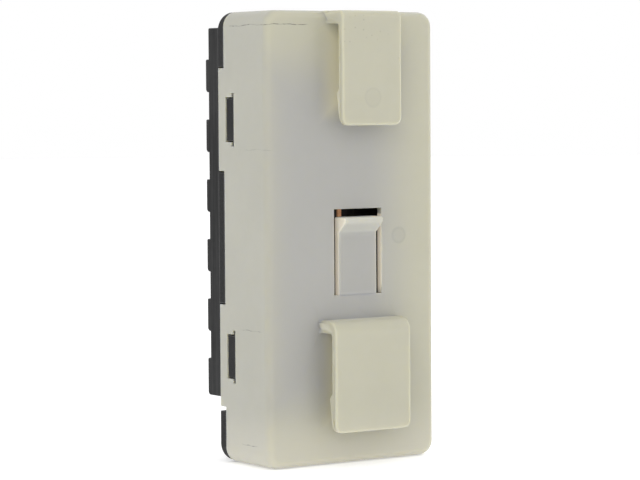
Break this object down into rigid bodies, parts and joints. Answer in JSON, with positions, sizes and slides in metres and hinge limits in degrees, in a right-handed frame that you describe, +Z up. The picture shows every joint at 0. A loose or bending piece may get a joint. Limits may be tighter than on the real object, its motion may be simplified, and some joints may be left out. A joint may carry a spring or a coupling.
{
  "type": "slide dimmer module",
  "caption": "Slim slide dimmer module: pale nylon mounting cover with panel hooks and a sprung latch, black base frame, banded heat sink and a slider knob.",
  "frame": {"origin": "centre of the bounding box's lower face, where the module stands on its lower end", "axes": "+Z up along the module, with the hooks pointing down; -Y out of the pale panel face; +X to the right when that face is looked at"},
  "size_m": [0.0474, 0.0372, 0.105],
  "materials": {
    "nylon": "translucent natural nylon, satin",
    "nylon_latch": "translucent natural nylon, satin",
    "black_plastic": "moulded black plastic, satin",
    "anodised_black": "black anodised, satin",
    "knob_plastic": "moulded black, semi-gloss",
    "white_paint": "white filling paint",
    "steel": "zinc plated",
    "brass": "bright brass",
    "copper": "bare copper",
    "tin": "tinned, dull",
    "board_mask": "black solder mask",
    "phenolic": "brown phenolic",
    "carbon": "printed carbon",
    "ferrite": "ferrite",
    "winding": "enamelled copper wire",
    "capacitor_coat": "dipped epoxy",
    "ceramic_disc": "dipped ceramic",
    "resistor_coat": "lacquered",
    "silicone": "silicone sheet",
    "felt": "black felt",
    "epoxy": "moulded epoxy"
  },
  "bodies": {
    "housing": {"base_frame": "black_plastic", "board_screw_1": "steel", "board_screw_2": "steel", "board_screw_3": "steel", "board_screw_4": "steel", "carbon_track": "carbon", "choke_core": "ferrite", "choke_winding": "winding", "circuit_board": "board_mask", "collector_rail": "tin", "copper_bus_strip": "copper", "diac": "capacitor_coat", "dust_strip_left": "felt", "dust_strip_right": "felt", "film_capacitor": "capacitor_coat", "heat_sink_screw_1": "steel", "heat_sink_screw_2": "steel", "heat_sink_screw_3": "steel", "heat_sink_screw_4": "steel", "level_wedge_inlay": "white_paint", "mounting_cover": "nylon", "pot_case": "steel", "pot_track_card": "phenolic", "resistor_1": "resistor_coat", "resistor_2": "resistor_coat", "ribbed_heat_sink": "anodised_black", "terminal_block": "black_plastic", "terminal_clamp_1": "brass", "terminal_clamp_2": "brass", "terminal_clamp_3": "brass", "terminal_pin_1": "tin", "terminal_pin_2": "tin", "terminal_pin_3": "tin", "terminal_screw_1": "steel", "terminal_screw_2": "steel", "terminal_screw_3": "steel", "thermal_fuse": "tin", "thermal_pad": "silicone", "timing_capacitor": "ceramic_disc", "triac_body": "epoxy", "triac_lead_1": "tin", "triac_lead_2": "tin", "triac_lead_3": "tin", "triac_screw": "steel", "triac_tab": "tin"},
    "slider": {"slider_knob": "knob_plastic", "knob_index_line": "white_paint", "slider_carriage": "black_plastic", "wiper_left": "brass", "wiper_right": "brass"},
    "latch": {"latch_tongue": "nylon_latch"}
  },
  "joints": [
    {"name": "slider_travel", "type": "slide", "parent": "housing", "child": "slider", "axis": [0, 0, 1], "range_m": [0, 0.06]},
    {"name": "latch_flex", "type": "hinge", "parent": "housing", "child": "latch", "pos_m": [0.0016, -0.0117, 0.0392], "axis": [-1, 0, 0], "range_deg": [0, 9], "stiffness_Nm_per_rad": 0.4}
  ]
}
